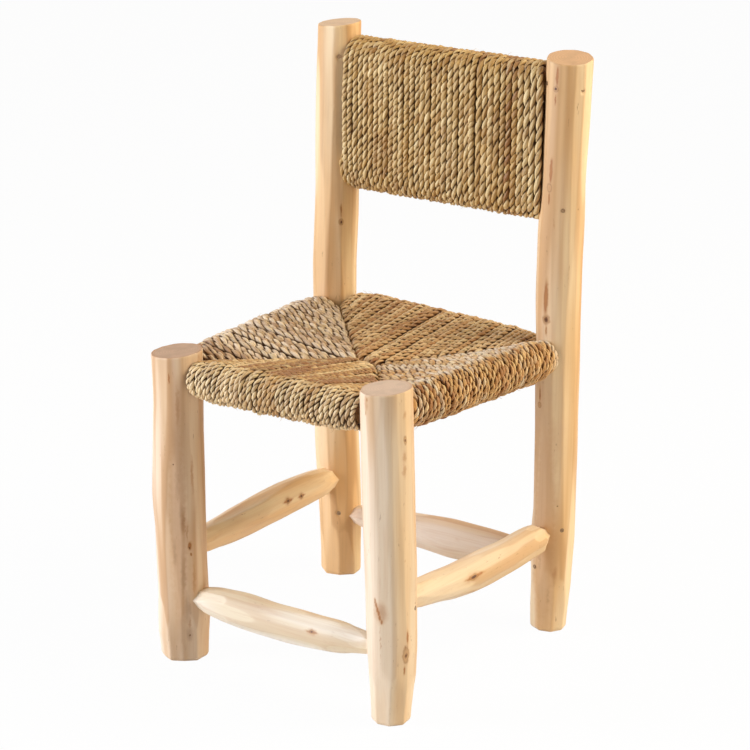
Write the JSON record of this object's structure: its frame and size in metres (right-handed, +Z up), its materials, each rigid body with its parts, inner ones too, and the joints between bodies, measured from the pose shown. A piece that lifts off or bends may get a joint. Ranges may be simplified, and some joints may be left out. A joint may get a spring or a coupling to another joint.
{
  "type": "childs chair",
  "caption": "Small chair of peeled branches with whittled stretchers, a square corded seat that dips along its diagonals, and a corded back panel between the rear posts.",
  "frame": {"origin": "on the floor under the middle of the chair", "axes": "+X to the right seen from the front, +Y from the front to the back, +Z up"},
  "size_m": [0.3255, 0.34, 0.6044],
  "materials": {
    "peeled_branch": "satin",
    "whittled_branch": "matte",
    "hidden_rail": "matte",
    "gold_cord": "matte",
    "pale_cord": "matte",
    "nail": "satin"
  },
  "bodies": {
    "root": {"front_left_leg": "peeled_branch", "front_right_leg": "peeled_branch", "back_left_post": "peeled_branch", "back_right_post": "peeled_branch", "front_stretcher": "whittled_branch", "back_stretcher": "whittled_branch", "left_stretcher": "whittled_branch", "right_stretcher": "whittled_branch", "seat_front_rail": "hidden_rail", "seat_back_rail": "hidden_rail", "seat_left_rail": "hidden_rail", "seat_right_rail": "hidden_rail", "seat_weave_front": "gold_cord", "seat_weave_back": "gold_cord", "seat_weave_left": "pale_cord", "seat_weave_right": "pale_cord", "back_top_rail": "hidden_rail", "back_bottom_rail": "hidden_rail", "back_rope": "gold_cord", "joint_nails": "nail"}
  },
  "joints": []
}
